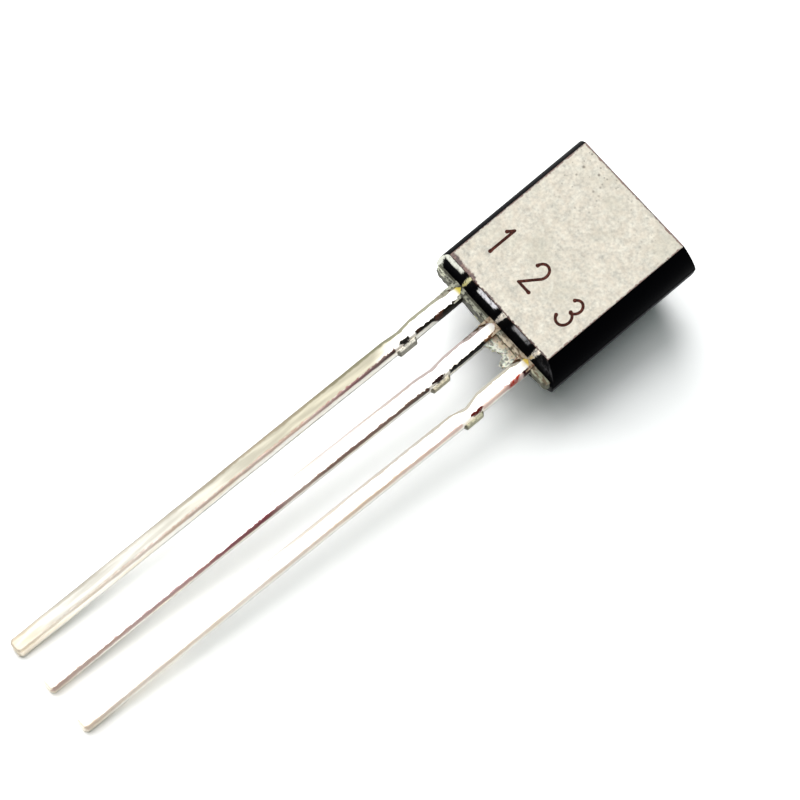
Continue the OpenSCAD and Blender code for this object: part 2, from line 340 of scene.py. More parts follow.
def add_parting_line(bm, case):
    """Fine ridge along both flanks, where the halves of the mould met."""
    for z in (-SEAM_HALF, 0, SEAM_HALF):
        flanks = [f for f in bm.faces if abs(f.normal.x) > 0.9]
        plane_mark(bm, Vector((0, 0, z)), Vector((0, 0, 1)), flanks)
    for v in bm.verts:
        if abs(v.co.z) < 1e-7 and abs(v.co.x) > 0.97 * case_high.x:
            v.co.x += math.copysign(case.seam, v.co.x)


def add_pin_mark(bm, case):
    """Round, flat-bottomed mark in the middle of the round back."""
    radius = case.pin_mark / 2
    patch = 1.5 * radius
    middle = Vector((0, case.length / 2, 0))
    for normal in (Vector((1, 0, 0)), Vector((0, 1, 0))):
        for side in (-1, 1):
            lower = [f for f in bm.faces if f.normal.z < -0.8]
            plane_mark(bm, middle + side * patch * normal, normal, lower)
    centres = {f: f.calc_center_median() - middle for f in bm.faces if f.normal.z < -0.8}
    inside = [f for f, c in centres.items() if abs(c.x) < patch and abs(c.y) < patch]
    bmesh.ops.delete(bm, geom=inside, context="FACES")
    opening = [e for e in bm.edges if e.is_boundary]
    ring, circle = circle_at(bm, middle, radius, 64)
    for v in ring:
        v.co.z = -math.sqrt(case_high.x**2 - v.co.x**2)
    bmesh.ops.bridge_loops(bm, edges=opening + circle)
    wall = bmesh.ops.extrude_edge_only(bm, edges=circle)["geom"]
    for v in only(BMVert, wall):
        v.co.z = -case_high.x + case.pin_mark_depth
    floor = [e for e in only(BMEdge, wall) if e.is_boundary]
    bmesh.ops.contextual_create(bm, geom=floor)


def sort_case_faces(bm):
    """Gives the flat, the leads' end, the far end, the flanks and the back their materials."""
    for f in bm.faces:
        if f.normal.z > 0.98:
            f.material_index = FLAT_PART
        elif f.normal.y < -0.9:
            f.material_index = END_PART
        elif f.normal.y > 0.9:
            f.material_index = FAR_PART
        else:
            f.material_index = FLANK_PART if f.calc_center_median().z > 0 else BACK_PART


def broken_slab(outline, thickness, seed, roughness, spacing, fixed_y):
    """Plate whose edges below fixed_y are broken unevenly, with points at a spacing."""
    bm = bmesh.new()
    plate = bm.faces.new([bm.verts.new((x, y, -thickness / 2)) for x, y in outline])
    for e in [e for e in plate.edges if e.calc_length() > spacing]:
        bmesh.ops.subdivide_edges(bm, edges=[e], cuts=int(e.calc_length() / spacing))
    extrude(bm, bm.faces[:], (0, 0, thickness))
    walls = [f for f in bm.faces if abs(f.normal.z) < 0.5]
    upright = [
        e for e in parts_of(walls, "edges")
        if abs(e.verts[0].co.z - e.verts[1].co.z) > thickness / 2
    ]
    bmesh.ops.subdivide_edges(bm, edges=upright, cuts=3, use_grid_fill=True)
    for v in bm.verts:
        if v.co.y < fixed_y:
            coarse, fine = lump(v.co, COARSE_LUMP, seed), lump(v.co, FINE_LUMP, seed + 5)
            v.co.y += roughness * (coarse + 0.5 * fine)
            v.co.x += 0.4 * roughness * lump(v.co, MIDDLE_LUMP, seed + 9)
    bmesh.ops.triangulate(bm, faces=[f for f in bm.faces if len(f.verts) > 4])
    return bm


def build_case(case, leads):
    bm = case_block(case)
    add_pin_mark(bm, case)
    add_parting_line(bm, case)
    sort_case_faces(bm)
    materials = [
        flat_face_material(case),
        end_face_material(case, leads),
        flank_material(case),
        back_material(case, "Moulded resin", specular=0.05),
        back_material(case, "Far end resin", specular=0.25),
    ]
    finished_piece(
        "case_body", bm, materials, replaced="moulded_case", smooth=30, weighted=True
    )


def build_rim(case):
    half, low = case_high.x - case.rim_inset, RIM_CORNER - case.rim
    quarter = [math.pi * (1 + 0.125 * i) for i in range(5)]
    outline = [(half, ROOTED), (-half, ROOTED)]
    for side in (-1, 1):
        corner = [
            (side * (half - RIM_CORNER - RIM_CORNER * math.cos(a)), low + RIM_CORNER * math.sin(a))
            for a in quarter
        ]
        outline += corner if side < 0 else corner[::-1]
    bm = broken_slab(
        outline, RIM_SHARE * SHEET, seed=2, roughness=case.rough_edge, spacing=0.05 * MM,
        fixed_y=-0.5 * case.rim,
    )
    finished_piece("case_rim", bm, [rim_material(case)])


# Outline of the flash, as shares of the gap between two leads and of the flash's length
FLASH_SHARES = [
    (1, -0.1), (0, -0.1), (0, 0.88), (0.3, 0.72), (0.52, 0.58), (0.62, 0.62), (0.78, 1),
    (0.87, 0.97), (1, 0.76),
]


def build_flash(case, leads):
    left, gap = leads.neck / 2, leads.pitch - leads.neck
    outline = [(left + gap * x, -case.flash * y) for x, y in FLASH_SHARES]
    bm = broken_slab(
        outline, case.flash_thickness, seed=4, roughness=1.9 * case.rough_edge,
        spacing=0.03 * MM, fixed_y=-0.25 * case.flash,
    )
    finished_piece("case_flash", bm, [flash_material(case)])


# Length of the film by lead and side, as a share of the setting
FILM_SHARES = {(1, -1): 1.2, (1, 1): 1.0, (2, -1): 0.85, (2, 1): 0.7, (3, -1): 0.6, (3, 1): 0.6}
FILM_THICKNESS = 0.03 * MM
FILM_ROOTED = 0.05 * MM  # how deep a film reaches into the case
FILM_START = 0.004 * MM  # half the gap between the two films of a lead
FILM_OVERHANG = 0.006 * MM  # how far a film stands out over the lead's side


def build_films(case, leads):
    """Thin broken films on both sides of each lead's root, which leave a V of metal bare."""
    bm = bmesh.new()
    side_x = leads.neck / 2 + FILM_OVERHANG
    for (index, side), share in FILM_SHARES.items():
        middle, reach = lead_x(leads, index), case.film * share
        outline = [
            (FILM_START, FILM_ROOTED), (FILM_START, 0), (0.55 * side_x, -0.3 * reach),
            (0.8 * side_x, -0.7 * reach), (0.9 * side_x, -reach), (side_x, -reach),
            (side_x, FILM_ROOTED),
        ]
        outline = [(middle + side * x, y) for x, y in outline][::-side]
        film = broken_slab(
            outline, FILM_THICKNESS, seed=3 * index + side, roughness=0.6 * case.rough_edge,
            spacing=0.04 * MM, fixed_y=-FILM_ROOTED,
        )
        bmesh.ops.translate(film, vec=(0, 0, SHEET / 2), verts=film.verts[:])
        mesh = bpy.data.meshes.new("film")
        film.to_mesh(mesh)
        film.free()
        bm.from_mesh(mesh)
        bpy.data.meshes.remove(mesh)
    finished_piece("root_films", bm, [film_material(case)])


def build_gate(case):
    half, out, root = case.gate / 2, case_high.y - case.length, case.length - ROOTED
    outline = [(-half, -root), (-half, -case_high.y), (half, -case_high.y), (half, -root)]
    bm = broken_slab(
        outline, case.gate_height, seed=7, roughness=0.5 * out, spacing=0.05 * MM,
        fixed_y=-case.length,
    )
    bmesh.ops.scale(bm, vec=(1, -1, 1), verts=bm.verts[:])
    finished_piece("case_gate", bm, [rim_material(case)])


# ---- Leads ----

CHAMFER = 0.1 * MM  # corners of the heads and of the flag
NOTCH, NOTCH_Y = 0.08 * MM, 0.6 * MM  # notches that lock a lead in the resin
HEAD_HALF, HEAD_LOW, HEAD_TOP = 0.39 * MM, 1.1 * MM, 1.72 * MM
RISER_HALF, FLAG_Y = 0.3 * MM, 2.05 * MM
HOLE_RADIUS, HOLE_INSET = 0.22 * MM, 0.5 * MM
CROP = 0.08 * MM  # cropped corners of a tip
BEND_CUTS = [(0.5 + 0.25 * i) * MM for i in range(56)]  # where a lead can bend, from the case
WAVE, TWIST_LENGTH = 0.6 * MM, 1.6 * MM


def bend_place(leads):
    """Distance from the case to the bend below the stub, where the leaning shank starts."""
    return leads.stub_at + leads.stub / 2 + leads.slope


def leaning(leads, x, along):
    """Place on a leaning shank: x across it, along it from the bend."""
    c, s = math.cos(leads.lean), math.sin(leads.lean)
    return x * c - along * s, -bend_place(leads) - along * c - x * s


def outer_side(leads, side, nick):
    """One side of a lead outside the case, from the tip up to the end face."""
    neck, shank = side * leads.neck / 2, side * leads.shank / 2
    nick = side * nick if side < 0 else 0
    low, high = leads.stub_at + leads.stub / 2, leads.stub_at - leads.stub / 2
    end = leads.reach - bend_place(leads)
    return [
        leaning(leads, shank - side * CROP, end), leaning(leads, shank, end - CROP),
        leaning(leads, shank, 0), (neck - 0.4 * nick, -low), (neck - 1.2 * nick, -leads.stub_at),
        (neck - 0.4 * nick, -high), (neck, leads.slope - high),
    ]


def headed_inner_side(leads, side):
    """One side of the first or second lead inside the case, from the end face to its head."""
    neck = leads.neck / 2
    points = [
        (neck, NOTCH_Y - NOTCH), (neck - NOTCH, NOTCH_Y), (neck, NOTCH_Y + NOTCH),
        (neck, HEAD_LOW), (HEAD_HALF - CHAMFER, HEAD_LOW), (HEAD_HALF, HEAD_LOW + CHAMFER),
        (HEAD_HALF, HEAD_TOP - CHAMFER), (HEAD_HALF - CHAMFER, HEAD_TOP),
    ]
    return [(side * x, y) for x, y in points]


def flag_inner_side(leads, side):
    """One side of the third lead inside the case, from the end face to the top of its flag."""
    neck, top = leads.neck / 2, third_high.y
    edge = third_high.x - leads.pitch if side > 0 else leads.pitch - third_low.x
    riser_y = NOTCH_Y + 2 * NOTCH + CHAMFER
    points = [
        (neck, NOTCH_Y - NOTCH), (neck - NOTCH, NOTCH_Y), (neck, riser_y - RISER_HALF + neck),
        (RISER_HALF, riser_y), (RISER_HALF, FLAG_Y),
    ]
    if side < 0:
        points.append((edge - CHAMFER, FLAG_Y))
    points += [(edge, FLAG_Y + CHAMFER), (edge, top - CHAMFER), (edge - CHAMFER, top)]
    return [(side * x, y) for x, y in points]


def lead_mesh(leads, middle, inner_side, nick, hole=None):
    """Stamped lead: its outline, given the sheet's thickness and rounded upper edges."""
    right, left = (outer_side(leads, s, nick) + inner_side(leads, s) for s in (1, -1))
    bm = bmesh.new()
    loop = [bm.verts.new((middle + x, y, -SHEET / 2)) for x, y in right + left[::-1]]
    outline = [bm.edges.new((a, b)) for a, b in zip(loop, loop[1:] + loop[:1])]
    if hole:
        outline += circle_at(bm, (*hole, -SHEET / 2), HOLE_RADIUS, 32)[1]
        bmesh.ops.triangle_fill(bm, edges=outline, use_beauty=True)
    else:
        bm.faces.new(loop)
    extrude(bm, bm.faces[:], (0, 0, SHEET))
    bmesh.ops.recalc_face_normals(bm, faces=bm.faces[:])
    for side, width, segments in ((1, leads.edge, 3), (-1, 0.3 * leads.edge, 2)):
        edges = [
            e for e in sharp_edges(bm, 60 * DEG)
            if min(side * v.co.z for v in e.verts) > 0.4 * SHEET
        ]
        round_off(bm, edges, width, segments)
    return bm


def add_stub(bm, leads, middle):
    """What the tie bar's cut left: a stub with a lowered, rounded top on one side."""
    top, rounding = SHEET / 2 - leads.stub_drop, 0.03 * MM
    low = Vector((leads.neck / 2 - rounding, -leads.stub_at - leads.stub / 2, -SHEET / 2))
    high = Vector((leads.neck / 2 + leads.stub_out, -leads.stub_at + leads.stub / 2, top))
    centre = (low + high) / 2 + Vector((middle, 0, 0))
    matrix = Matrix.Translation(centre) @ Matrix.Diagonal(high - low).to_4x4()
    block = bmesh.ops.create_cube(bm, size=1, matrix=matrix)["verts"]
    for v in block:
        if v.co.x > centre.x:
            v.co.y += math.copysign(0.5 * leads.slope, centre.y - v.co.y)
            if v.co.z > 0:
                v.co.z -= rounding
    round_off(bm, parts_of(block, "link_edges"), rounding, 3)


def off_centre(place, leads, middle):
    """How far a place is to the right of the middle of its lead."""
    past_bend = max(0, -place.y - bend_place(leads))
    return place.x - middle + past_bend * math.tan(leads.lean)


def keep_straight_places(bm, leads, middle):
    """Keeps each point's place on the straight lead, in millimetres: across, along, through."""
    layer = bm.verts.layers.float_vector.new("straight")
    for v in bm.verts:
        v[layer] = Vector((off_centre(v.co, leads, middle), v.co.y, v.co.z)) / MM


def bend_shank(bm, leads, middle, seed, bow, twist, drift):
    """Bows and twists a lead outside the case, and makes its sheared sides uneven."""
    for distance in BEND_CUTS:
        plane_mark(bm, Vector((0, -distance, 0)), Vector((0, 1, 0)))
    keep_straight_places(bm, leads, middle)
    for v in bm.verts:
        along = -v.co.y
        if along <= 0:
            continue
        side = off_centre(v.co, leads, middle)
        centre = v.co.x - side
        uneven = lump(Vector((0, along, v.co.z)), WAVE, seed)
        side += math.copysign(leads.waviness, side) * uneven
        share = min(1, max(0, (along - leads.stub_at) / (leads.reach - leads.stub_at)))
        turn = twist * min(1, along / TWIST_LENGTH)
        c, s = math.cos(turn), math.sin(turn)
        v.co.x = centre - bow * math.sin(math.pi * share) + drift * share + c * side - s * v.co.z
        v.co.z = c * v.co.z + s * side + abs(s) * leads.shank / 2


def lead_x(leads, index):
    """Middle of a lead, counted from 1."""
    return (index - 2) * leads.pitch


LEADS = [
    # name, node, inner side, bow and nick as shares of the settings, twist in degrees,
    # drift of the tip in millimetres
    ("first_lead", "emitter_lead", headed_inner_side, 0.0, 1.0, 9, 0.06),
    ("second_lead", "base_lead", headed_inner_side, 1.0, 1.0, 0, 0.02),
    ("third_lead", "collector_lead", flag_inner_side, 1.0, 2.2, 0, 0.05),
]


def build_leads(leads):
    for index, (name, node, inner_side, bow, nick, twist, drift) in enumerate(LEADS, 1):
        middle, hole = lead_x(leads, index), None
        if inner_side is flag_inner_side:
            hole = (third_high.x - HOLE_INSET, (FLAG_Y + third_high.y) / 2)
        bm = lead_mesh(leads, middle, inner_side, nick * leads.nick, hole)
        add_stub(bm, leads, middle)
        bend_shank(bm, leads, middle, index, bow * leads.bow, twist * DEG, drift * MM)
        finished_piece(name, bm, [lead_material(leads, index)], node, smooth=45)


# ---- Marking ----

MARK_DEPTH, MARK_LIFT = 0.01 * MM, 0.003 * MM  # below and above the flat face
END_SHARE = 0.68  # half width at the ends of a stroke, as a share of its width
CAP = [(math.cos(math.pi * i / 8), math.sin(math.pi * i / 8)) for i in range(9)]


def arc(x, y, rx, ry, first, last, steps=14):
    turns = [math.radians(first + (last - first) * i / steps) for i in range(steps + 1)]
    return [(x + rx * math.cos(a), y + ry * math.sin(a)) for a in turns]


# Strokes of each digit, as lists of points in a box one wide and one high
DIGITS = {
    1: [[(0.3, 0.8), (0.55, 1), (0.55, 0)]],
    2: [arc(0.5, 0.73, 0.42, 0.27, 170, -35) + [(0.08, 0), (0.95, 0)]],
    3: [arc(0.48, 0.76, 0.38, 0.24, 150, -80), arc(0.48, 0.27, 0.44, 0.27, 85, -155)],
}


def build_marking(mark, leads):
    """The leads' numbers, burnt into the flat face beside each lead as thin strokes."""
    bm = bmesh.new()
    for digit, strokes in DIGITS.items():
        left = lead_x(leads, digit) - 0.5 * mark.width
        for order, stroke in enumerate(strokes):
            places = [(left + x * mark.width, mark.base + y * mark.height) for x, y in stroke]
            points = [Vector((*place, case_high.z)) for place in places]
            add_stroke(bm, points, mark.stroke, order)
    finished_piece("lead_numbers", bm, [ink_material(mark)], smooth=40)


def add_stroke(bm, points, width, order):
    """Closed bar along each smooth run of points, round and wider at the stroke's ends."""
    end = len(points) - 1
    ways = [b - a for a, b in zip(points, points[1:])]
    turns = [i for i in range(1, end) if ways[i - 1].angle(ways[i]) > 60 * DEG]
    stops = [0, *turns, end]
    for first, last in zip(stops, stops[1:]):
        run = points[first:last + 1]
        halves = [width / 2] * len(run)
        if first == 0:
            halves[0] = END_SHARE * width
        if last == end:
            halves[-1] = END_SHARE * width
        if len(run) == 2:
            share = width / (run[1] - run[0]).length
            run[1:1] = [run[0].lerp(run[1], share), run[1].lerp(run[0], share)]
            halves[1:1] = [width / 2, width / 2]
        ahead = [(b - a).normalized() for a, b in zip(run, run[1:])]
        between = [(a + b).normalized() for a, b in zip(ahead, ahead[1:])]
        ahead = [ahead[0], *between, ahead[-1]]
        aside = [Vector((-a.y, a.x, 0)) for a in ahead]
        outline = [run[-1] + halves[-1] * (c * aside[-1] + s * ahead[-1]) for c, s in CAP]
        outline += [p - h * n for p, h, n in zip(run, halves, aside)][-2:0:-1]
        outline += [run[0] - halves[0] * (c * aside[0] + s * ahead[0]) for c, s in CAP]
        outline += [p + h * n for p, h, n in zip(run, halves, aside)][1:-1]
        plate = bm.faces.new([bm.verts.new(p - Vector((0, 0, MARK_DEPTH))) for p in outline])
        extrude(bm, [plate], (0, 0, MARK_DEPTH + MARK_LIFT * (1 + 0.3 * order)))
        order += 1


# ---- Shader nodes ----

METRES_TO_MM = (1000, 1000, 1000)
MIX_SHARE, MIX_A, MIX_B, MIX_RESULT = 0, 6, 7, 2  # sockets of a Mix node set to colours


def add_node(tree, kind, inputs=None, **settings):
    node = tree.nodes.new(kind)
    for key, value in settings.items():
        setattr(node, key, value)
    for key, value in (inputs or {}).items():
        if isinstance(value, Value):
            tree.links.new(value.socket, node.inputs[key])
        else:
            node.inputs[key].default_value = value
    return node


def connect(node, **values):
    """Links values to a node's sockets, with _ for the spaces in their names."""
    for key, value in values.items():
        value.tree.links.new(value.socket, node.inputs[key.replace("_", " ")])


def rgba(tone):
    return tone if isinstance(tone, Value) else (*tone[:3], 1.0)


def darker(rgb, share):
    return tuple(share * c for c in rgb)


class Value:
    """A node's output. Arithmetic on it adds Math nodes, and a | b is the greater of two."""

    def __init__(self, node, output=0):
        self.tree, self.socket = node.id_data, node.outputs[output]

    def then(self, kind, inputs, output=0, **settings):
        """Output of a new node in the same tree."""
        return Value(add_node(self.tree, kind, inputs, **settings), output)

    def math(self, operation, a, b=0.0):
        return self.then("ShaderNodeMath", {0: a, 1: b}, operation=operation)

    def __abs__(self):
        return self.math("ABSOLUTE", self)

    def __add__(self, other):
        return self.math("ADD", self, other)

    def __sub__(self, other):
        return self.math("SUBTRACT", self, other)

    def __rsub__(self, other):
        return self.math("SUBTRACT", other, self)

    def __mul__(self, other):
        return self.math("MULTIPLY", self, other)

    def __truediv__(self, other):
        return self.math("DIVIDE", self, other)

    def __pow__(self, other):
        return self.math("POWER", self, other)

    def __or__(self, other):
        return self.math("MAXIMUM", self, other)

    def swing(self, size):
        """Turns a pattern about 0.5 into one about 0."""
        return (self - 0.5) * size

    def folded(self, at):
        """Goes up to a value and down again, over and over."""
        return self.math("PINGPONG", self, at)

    def ramp(self, low, high, start=0.0, end=1.0, shape="SMOOTHSTEP"):
        """Soft ramp from start, where this is low, to end, where it is high."""
        ends = {"From Min": low, "From Max": high, "To Min": start, "To Max": end}
        inputs = {"Value": self, **ends}
        return self.then("ShaderNodeMapRange", inputs, "Result", interpolation_type=shape)

    def even_ramp(self, low, high, start=0.0, end=1.0):
        """Straight ramp, for patterns that keep their own softness."""
        return self.ramp(low, high, start, end, "LINEAR")

    def mix(self, a, b):
        """Colour that goes from a to b with this value."""
        inputs = {MIX_SHARE: self, MIX_A: rgba(a), MIX_B: rgba(b)}
        return self.then("ShaderNodeMix", inputs, MIX_RESULT, data_type="RGBA")

    def shades(self, tone, low, high):
        """Colour that goes from one share of a tone to another with this value."""
        return self.mix(darker(tone, low), darker(tone, high))

    def stops(self, points):
        """Colour that changes with this value, from points of (value, colour or strength)."""
        low, high = points[0][0], points[-1][0]
        node = add_node(self.tree, "ShaderNodeValToRGB", {"Fac": self.even_ramp(low, high)})
        elements = node.color_ramp.elements
        for at, _ in points[1:-1]:
            elements.new((at - low) / (high - low))
        for element, (_, tone) in zip(elements, points):
            element.color = rgba(tone if isinstance(tone, tuple) else (tone,) * 3)
        return Value(node, "Color")

    def mapped(self, **inputs):
        return self.then("ShaderNodeMapping", {"Vector": self, **inputs}, "Vector")

    def xyz(self):
        node = add_node(self.tree, "ShaderNodeSeparateXYZ", {"Vector": self})
        return [Value(node, axis) for axis in "XYZ"]

    def noise(self, scale, detail, **inputs):
        inputs = {"Vector": self, "Scale": scale, "Detail": detail, **inputs}
        return self.then("ShaderNodeTexNoise", inputs, "Fac")

    def bump(self, strength, distance_mm):
        """Normal of a surface that has this as its height."""
        inputs = {"Height": self, "Strength": strength, "Distance": distance_mm * MM}
        return self.then("ShaderNodeBump", inputs, "Normal")


def millimetres(tree):
    """Place on the part in millimetres, from its Object coordinates."""
    return Value(add_node(tree, "ShaderNodeTexCoord"), "Object").mapped(Scale=METRES_TO_MM)


def own_directions(tree):
    """Place in the case's own directions, in millimetres: X across the leads, Y up the case."""
    place = Value(add_node(tree, "ShaderNodeTexCoord"), "Object")
    turned = place.mapped(Location=UNLAID.to_translation(), Rotation=UNLAID.to_euler())
    return turned.mapped(Scale=METRES_TO_MM)


def new_group(name, numbers, outputs):
    """Node group with a place and numbers going in. Returns it, what goes in, and its end."""
    group = bpy.data.node_groups.new(name, "ShaderNodeTree")
    new_socket = group.interface.new_socket
    new_socket(name="Place", in_out="INPUT", socket_type="NodeSocketVector")
    for label, default in numbers.items():
        socket = new_socket(name=label, in_out="INPUT", socket_type="NodeSocketFloat")
        socket.default_value = default
    for label in outputs:
        new_socket(name=label, in_out="OUTPUT", socket_type="NodeSocketFloat")
    start = group.nodes.new("NodeGroupInput")
    given = [Value(start, label) for label in ("Place", *numbers)]
    return group, given, group.nodes.new("NodeGroupOutput")


def new_grain_group(name):
    group, (place, fine, coarse), result = new_group(
        name, {"Fine": 16.0, "Coarse": 2.5}, ("Mottle", "Height")
    )
    fine, coarse = place.noise(fine, 3.0, Roughness=0.6), place.noise(coarse, 2.0)
    connect(result, Mottle=fine * 0.65 + coarse * 0.35, Height=fine)
    return group


def new_specks_group(name):
    group, (place, density, size, share), result = new_group(
        name, {"Density": 5.0, "Size": 0.12, "Share": 0.3}, ("Mask",)
    )
    cells = add_node(group, "ShaderNodeTexVoronoi", {"Vector": place, "Scale": density})
    picked = add_node(group, "ShaderNodeSeparateColor", {"Color": Value(cells, "Color")})
    inside = 1.0 - Value(cells, "Distance") / (size * (Value(picked, "Green") + 0.4))
    shown = place.math("LESS_THAN", Value(picked, "Red"), share)
    connect(result, Mask=inside.even_ramp(0.0, 0.6) * shown)
    return group


def place_group(place, name, new, **inputs):
    """Places a node group in the tree of a place. The group is built once."""
    group = bpy.data.node_groups.get(name) or new(name)
    return add_node(place.tree, "ShaderNodeGroup", {"Place": place, **inputs}, node_tree=group)


def grain(place, fine, coarse):
    """Fine and coarse mottling of a surface, as a value about 0.5 and a height."""
    node = place_group(place, "Resin grain", new_grain_group, Fine=fine, Coarse=coarse)
    return Value(node, "Mottle"), Value(node, "Height")


def specks(place, density, size, share):
    """Sparse round specks, as a mask."""
    inputs = {"Density": density, "Size": size, "Share": share}
    return Value(place_group(place, "Sparse specks", new_specks_group, **inputs), "Mask")


def new_material(name, base, **shader_values):
    """Material with one Principled shader. Returns the material, its tree and the shader."""
    material = bpy.data.materials.new(name)
    material.use_nodes = True
    material.diffuse_color = rgba(base)
    shader = material.node_tree.nodes["Principled BSDF"]
    shader.inputs["Base Color"].default_value = rgba(base)
    for key, value in shader_values.items():
        shader.inputs[key.replace("_", " ")].default_value = value
    return material, material.node_tree, shader


# ---- Materials of the resin ----


def new_resin(name, tone, **shader_values):
    """Material of a resin surface, its shader, and places in the case's own directions."""
    material, tree, shader = new_material(name, tone, **shader_values)
    return material, shader, own_directions(tree)


def flat_border(across, along, mottle, half_width, low, high):
    """Mask of the dark edges of the flat: widest at the first lead's corner."""
    shift = mottle.swing(0.2)
    sides = (abs(across) + shift).ramp(half_width - 0.045, half_width - 0.01)
    width = across.ramp(-1.1, -0.8, 0.115, 0.035)
    near = ((along + shift - low) / width).ramp(1.3, 0.7)
    far = (along + shift).ramp(high - 0.06, high - 0.03)
    return sides | (near | far)


def flat_face_material(case):
    """Frosted pale grey resin with fine mottling, dark specks and dark edges; the pale grey is
    partly painted glare of the lamps on black resin.
    """
    tone = case.flat_tone_and_glare
    material, shader, place = new_resin("Frosted flat", tone, Roughness=0.45)
    across, along, _ = place.xyz()
    mottle, height = grain(place, 11.0, 4.0)
    base = mottle.even_ramp(0.25, 0.75).shades(tone, 0.48, 1.46)
    tint = place.mapped(Location=(9.0, 4.0, 0)).noise(5.0, 3.0)
    base = tint.even_ramp(0.35, 0.65, 0.0, 0.4).mix(base, (0.76, 0.64, 0.50))
    cloud = place.noise(0.9, 2.0)
    base = cloud.ramp(0.45, 0.75, 0.0, 0.35).mix(base, (0.50, 0.475, 0.37))
    # dark specks, most of them towards the far end and the first lead's side
    marks = specks(place, 5.0, 0.24, 0.55) | specks(place, 12.0, 0.34, 0.2) * 0.7
    marks = marks * (along.ramp(2.4, 4.4, 0.14, 1.2) * across.ramp(0.9, -1.7, 0.3, 1.0))
    base = (marks * 0.85).mix(base, (0.10, 0.08, 0.05))
    half_width = math.sqrt(case_high.x**2 - case_high.z**2) / MM
    low = case_high.z * math.tan(case.draft) / MM
    border = flat_border(across, along, mottle, half_width, low, case.length / MM - low)
    edge = mottle.ramp(0.44, 0.56).mix((0.045, 0.016, 0.012), (0.19, 0.105, 0.08))
    connect(shader, Base_Color=border.mix(base, edge), Normal=height.bump(0.3, 0.008))
    return material


def end_face_material(case, leads):
    """Black resin, dull beside the rim and the leads, with a mirror along its upper edge and above
    each lead whose pale base colour paints the reflections of the floor and the leads.
    """
    tone, half_pitch = case.resin_colour, 0.5 * leads.pitch / MM
    material, shader, place = new_resin("Polished resin", tone, Specular_IOR_Level=0.001)
    across, _, front = place.xyz()
    drawn = place.mapped(Scale=(0.9, 1.0, 0.3))
    mottle, _ = grain(place, 7.0, 1.6)
    fine, _ = grain(drawn, 14.0, 6.0)
    speckle, _ = grain(drawn, 30.0, 14.0)
    shift = mottle.swing(0.3)
    through = abs(front)
    raised = through + shift
    above = through - HALF_SHEET_MM
    slanted = across - above * 0.24
    # painted reflection of the floor: a mirror strip along the upper edge, broken above each lead
    # and fading to the right, where the mirrored floor lies in shadow
    gap = (slanted - 0.055).folded(half_pitch) + shift
    floor_reflection = raised.ramp(0.74, 0.94) * raised.ramp(1.2, 1.1) * gap.ramp(0.24, 0.36)
    clear = floor_reflection | (shift - across).ramp(1.95, 2.05)
    clear = clear * across.ramp(-0.3, 0.5, 0.9, 0.38) * across.ramp(1.0, 1.4, 1.0, 0.0)
    clear = clear * fine.ramp(0.36, 0.55, 0.4, 1.0)
    # faint mottled mirror towards the right corner, also painted reflection
    glow = across.ramp(1.35, 1.8) * through.ramp(0.2, 0.7) * fine.ramp(0.36, 0.62, 0.02, 0.11)
    # painted reflection of each lead: a narrow mirror that widens upwards from it, weaker above
    # the first
    lead_reflection = slanted.folded(half_pitch) - above * 0.06 + fine.swing(0.25)
    lead_reflection = lead_reflection.ramp(0.045, 0.0) * across.ramp(-0.9, -0.3, 0.8, 1.6)
    lead_reflection = lead_reflection * speckle.ramp(0.44, 0.53, 0.15, 1.0)
    clear = clear | glow | lead_reflection
    facing = place.then("ShaderNodeLayerWeight", {"Blend": 0.5}, "Facing")
    mirror = clear * 0.52 * facing.ramp(0.45, 0.75)
    # pale base colour where the mirror is: painted reflection, golden and pinkish where the leads'
    # roots are mirrored
    past_first = across.ramp(-0.9, -0.6)
    bright = past_first.mix((0.95, 0.95, 0.84), (0.96, 0.94, 1.0))
    lead_reflection_tint = past_first.mix((0.92, 0.88, 0.5), (0.98, 0.90, 0.80))
    bright = lead_reflection.ramp(0.0, 0.4).mix(bright, lead_reflection_tint)
    worn = raised.ramp(1.1, 1.2) * fine.ramp(0.44, 0.56) * front.ramp(0.0, 0.1)
    dark = worn.mix(tone, (0.20, 0.10, 0.075))
    base, rough = mirror.ramp(0.0, 0.3).mix(dark, bright), clear.ramp(0.0, 1.0, 0.3, 0.12)
    connect(shader, Base_Color=base, Metallic=mirror, Roughness=rough)
    return material


def flank_material(case):
    """Deep black, smooth resin of the front half's flanks."""
    tone = case.resin_colour
    material, shader, place = new_resin("Smooth resin", tone, Specular_IOR_Level=0.0014)
    mottle, height = grain(place, 22.0, 1.4)
    rough = mottle.ramp(0.3, 0.7, 0.26, 0.36)
    base = mottle.shades(tone, 0.3, 1.2)
    connect(shader, Base_Color=base, Roughness=rough, Normal=height.bump(0.3, 0.006))
    return material


def back_material(case, name, specular):
    """Black satin resin of the round back and the far end, with flow streaks along the case."""
    tone = case.resin_colour
    material, shader, place = new_resin(name, tone, Specular_IOR_Level=specular)
    mottle, height = grain(place, 20.0, 1.4)
    flow = place.mapped(Scale=(1.0, 0.25, 1.0)).noise(1.6, 3.0)
    rough = flow.ramp(0.35, 0.65, 0.40, 0.55)
    base = mottle.shades(tone, 0.8, 3.0)
    connect(shader, Base_Color=base, Roughness=rough, Normal=height.bump(0.4, 0.008))
    return material


